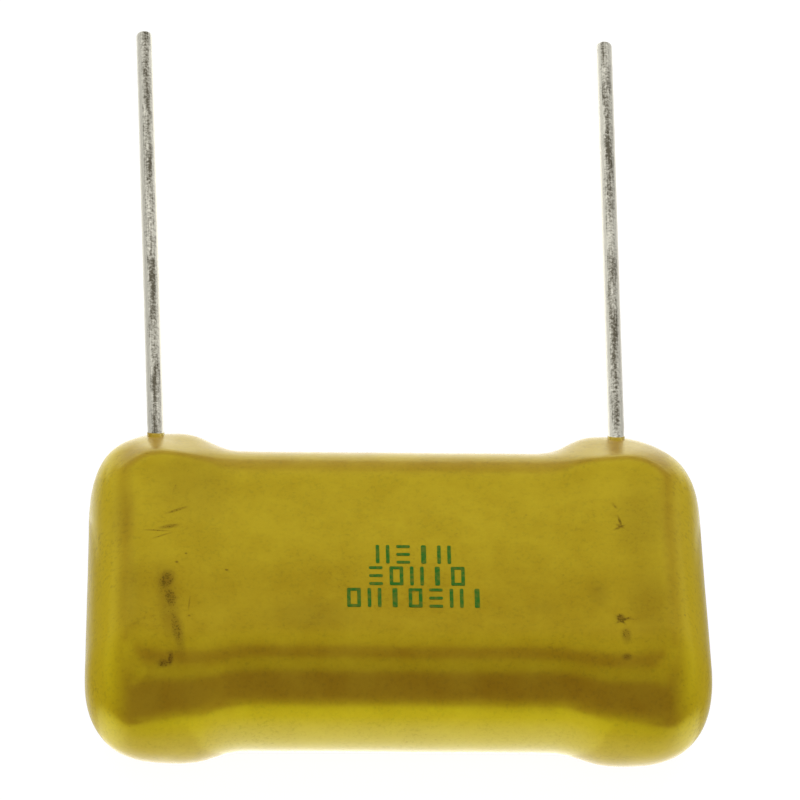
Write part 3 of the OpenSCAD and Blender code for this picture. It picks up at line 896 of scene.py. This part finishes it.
class CAPACITOR_OT_stage(bpy.types.Operator):
    """Set the floor, the lamps, the surroundings and the camera"""

    bl_idname = "capacitor.stage"
    bl_label = "Studio stage"

    FLOOR_SIZE = 3.0
    SENSOR = 36

    def execute(self, context):
        s = context.scene.capacitor_stage
        self.floor(s)
        for name, arch, distance, width, height, setting, share in SOFTBOXES:
            theta = math.radians(arch)
            towards = Vector((0, -math.cos(theta), math.sin(theta)))
            self.hang(name, towards, distance, width, height, share * getattr(s, setting))
        for name, start, depth, width, height, setting, share in TABLE_LAMPS:
            self.lay(name, start, depth, width, height, share * getattr(s, setting))
        for name, (x, y, z), distance, width, height, setting, unseen_by in SIDE_LAMPS:
            for place, side in (("left", -1), ("right", 1)):
                towards = Vector((side * x, y, z))
                lamp = self.hang(f"{place}_{name}", towards, distance, width, height, getattr(s, setting))
                setattr(lamp, unseen_by, False)
        for name, start, depth, width, height, setting, share in TABLE_CARDS:
            card = self.lay(name, start, depth, width, height, share * getattr(s, setting))
            card.visible_diffuse = False
        self.surroundings(context)
        self.camera(context, s)
        context.scene.view_settings.view_transform = "Standard"
        return {"FINISHED"}

    def floor(self, s):
        """A pale sweep that looks white, and still takes the part's soft shadow."""
        bpy.ops.mesh.primitive_plane_add(size=self.FLOOR_SIZE)
        floor = start_piece("floor")
        material, add, place = new_material("pale_floor")
        ray = add("ShaderNodeLightPath")
        seen = ray.outputs["Is Camera Ray"]
        for kind in ("Is Glossy Ray", "Is Transmission Ray"):
            seen = add("ShaderNodeMath", {0: seen, 1: ray.outputs[kind]}, operation="MAXIMUM")
        split = add("ShaderNodeSeparateXYZ", {0: place})
        sideways = add("ShaderNodeMath", {0: split.outputs["X"]}, operation="ABSOLUTE")
        # In the gloss of the part the floor is bright between its ends, further out in front, and bright
        # beyond it, where a wider stretch shows in the wires
        front = add("ShaderNodeMapRange", {
            "Value": split.outputs["Y"], "From Min": -8 * MM, "From Max": -16 * MM, "To Max": 10 * MM},
            interpolation_type="SMOOTHSTEP")
        inward = add("ShaderNodeMath", {0: sideways, 1: front}, operation="SUBTRACT")
        lit = add("ShaderNodeMapRange", {
            "Value": inward, "From Min": 26 * MM, "From Max": 15 * MM,
            "To Min": 0.06, "To Max": 1.0}, interpolation_type="SMOOTHSTEP")
        beyond = add("ShaderNodeMapRange", {
            "Value": split.outputs["Y"], "From Min": COAT_HIGH.y, "From Max": COAT_HIGH.y + 10 * MM},
            interpolation_type="SMOOTHSTEP")
        widening = add("ShaderNodeMapRange", {
            "Value": split.outputs["Y"], "From Min": 26 * MM, "From Max": 40 * MM, "To Max": 30 * MM},
            interpolation_type="SMOOTHSTEP")
        middle = add("ShaderNodeMath", {0: sideways, 1: widening}, operation="SUBTRACT")
        middle = add("ShaderNodeMapRange", {
            "Value": middle, "From Min": 34 * MM, "From Max": 24 * MM}, interpolation_type="SMOOTHSTEP")
        beyond = add("ShaderNodeMath", {0: beyond, 1: middle}, operation="MULTIPLY")
        lit = add("ShaderNodeMath", {0: lit, 1: beyond}, operation="MAXIMUM")
        bright = add("ShaderNodeMix", {0: ray.outputs["Is Camera Ray"], 2: lit, 3: 0.96})
        paper = add("ShaderNodeBsdfDiffuse", {"Color": s.floor_colour})
        veil = add("ShaderNodeBsdfDiffuse", {"Color": (0.15, 0.15, 0.15, 1)})
        glow = add("ShaderNodeEmission", {"Color": (1, 1, 1, 1), "Strength": bright})
        white = add("ShaderNodeAddShader", {0: veil, 1: glow})
        mixed = add("ShaderNodeMixShader", {0: seen, 1: paper, 2: white})
        add("ShaderNodeOutputMaterial", {"Surface": mixed})
        floor.data.materials.append(material)

    def lamp(self, name, place, turn, width, height, radiance):
        """A flat lamp of even radiance that the camera doesn't see."""
        bpy.ops.object.light_add(type="AREA", location=place, rotation=turn)
        lamp = bpy.context.object
        lamp.name = name
        lamp.data.shape = "RECTANGLE"
        lamp.data.size = width
        lamp.data.size_y = height
        lamp.data.energy = radiance * math.pi * width * height
        lamp.visible_camera = False
        return lamp

    def hang(self, name, towards, distance, width, height, radiance):
        """A lamp that hangs in one direction from the part and faces it, measured in mm."""
        towards = towards.normalized()
        turn = towards.to_track_quat("Z", "Y").to_euler()
        place = COAT_MIDDLE + towards * distance * MM
        return self.lamp(name, place, turn, width * MM, height * MM, radiance)

    def lay(self, name, start, depth, width, height, radiance):
        """A lamp that lies close over the floor and faces up, measured in mm."""
        place = (COAT_MIDDLE.x, start + depth * MM / 2, height * MM)
        return self.lamp(name, place, (math.pi, 0, 0), width * MM, abs(depth) * MM, radiance)

    def surroundings(self, context):
        """A dim room: darkest behind the camera, lighter beyond the part and beside it, white when seen."""
        world = bpy.data.worlds.new("studio_room")
        context.scene.world = world
        add = empty_tree(world)
        place = add("ShaderNodeTexCoord").outputs["Generated"]
        split = add("ShaderNodeSeparateXYZ", {0: place})
        depth = add("ShaderNodeMapRange", {
            "Value": split.outputs["Y"], "From Min": -0.6, "From Max": 0.8, "To Min": 0.1, "To Max": 0.45},
            interpolation_type="SMOOTHSTEP")
        sideways = add("ShaderNodeMath", {0: split.outputs["X"]}, operation="ABSOLUTE")
        walls = add("ShaderNodeMapRange", {
            "Value": sideways, "From Min": 0.55, "From Max": 0.75, "To Max": 0.28},
            interpolation_type="SMOOTHSTEP")
        room_light = add("ShaderNodeMath", {0: depth, 1: walls}, operation="ADD")
        ray = add("ShaderNodeLightPath")
        strength = add("ShaderNodeMix", {0: ray.outputs["Is Camera Ray"], 2: room_light, 3: 1.0})
        room = add("ShaderNodeBackground", {"Color": (1, 1, 1, 1), "Strength": strength})
        add("ShaderNodeOutputWorld", {"Surface": room})

    def camera(self, context, s):
        """A long lens at the height and turn of the photograph."""
        az, el = s.azimuth, s.elevation
        forward = Vector((-math.cos(el) * math.sin(az), math.cos(el) * math.cos(az), -math.sin(el)))
        level = Vector((math.cos(az), math.sin(az), 0))
        upright = level.cross(forward)
        right = level * math.cos(s.roll) + upright * math.sin(s.roll)
        up = upright * math.cos(s.roll) - level * math.sin(s.roll)
        place = COAT_MIDDLE - forward * s.distance
        sight = (COAT_MIDDLE + right * s.aim_right + up * s.aim_up - place).normalized()
        right = (right - sight * right.dot(sight)).normalized()
        up = right.cross(sight)
        bpy.ops.object.camera_add()
        camera = bpy.context.object
        camera.name = "camera"
        camera.matrix_world = Matrix((
            (right.x, up.x, -sight.x, place.x),
            (right.y, up.y, -sight.y, place.y),
            (right.z, up.z, -sight.z, place.z),
            (0, 0, 0, 1)))
        camera.data.sensor_width = self.SENSOR
        camera.data.lens = self.SENSOR * s.distance / s.view_width
        camera.data.clip_start = 10 * MM
        camera.data.clip_end = 10
        context.scene.camera = camera


class CAPACITOR_PT_panel(bpy.types.Panel):
    """Capacitor tools"""

    bl_idname = "CAPACITOR_PT_panel"
    bl_label = "Mica capacitor"
    bl_space_type = "VIEW_3D"
    bl_region_type = "UI"
    bl_category = "Capacitor"

    def draw(self, context):
        for operator in OPERATORS:
            self.layout.operator(operator.bl_idname)


SETTINGS = {
    "capacitor_coat": CoatSettings,
    "capacitor_lead": LeadSettings,
    "capacitor_ink": InkSettings,
    "capacitor_inner": InnerSettings,
    "capacitor_stage": StageSettings,
}
OPERATORS = (
    CAPACITOR_OT_resin_coat,
    CAPACITOR_OT_wire_leads,
    CAPACITOR_OT_ink_marks,
    CAPACITOR_OT_inner_pieces,
    CAPACITOR_OT_stage,
)


def register():
    for group in SETTINGS.values():
        bpy.utils.register_class(group)
    for name, group in SETTINGS.items():
        setattr(bpy.types.Scene, name, bpy.props.PointerProperty(type=group))
    for operator in OPERATORS:
        bpy.utils.register_class(operator)
    bpy.utils.register_class(CAPACITOR_PT_panel)


def unregister():
    bpy.utils.unregister_class(CAPACITOR_PT_panel)
    for operator in reversed(OPERATORS):
        bpy.utils.unregister_class(operator)
    for name, group in SETTINGS.items():
        delattr(bpy.types.Scene, name)
        bpy.utils.unregister_class(group)


def main():
    register()
    bpy.ops.capacitor.resin_coat()
    bpy.ops.capacitor.wire_leads()
    bpy.ops.capacitor.ink_marks()
    bpy.ops.capacitor.inner_pieces()
    bpy.ops.capacitor.stage()


if __name__ == "__main__":
    main()
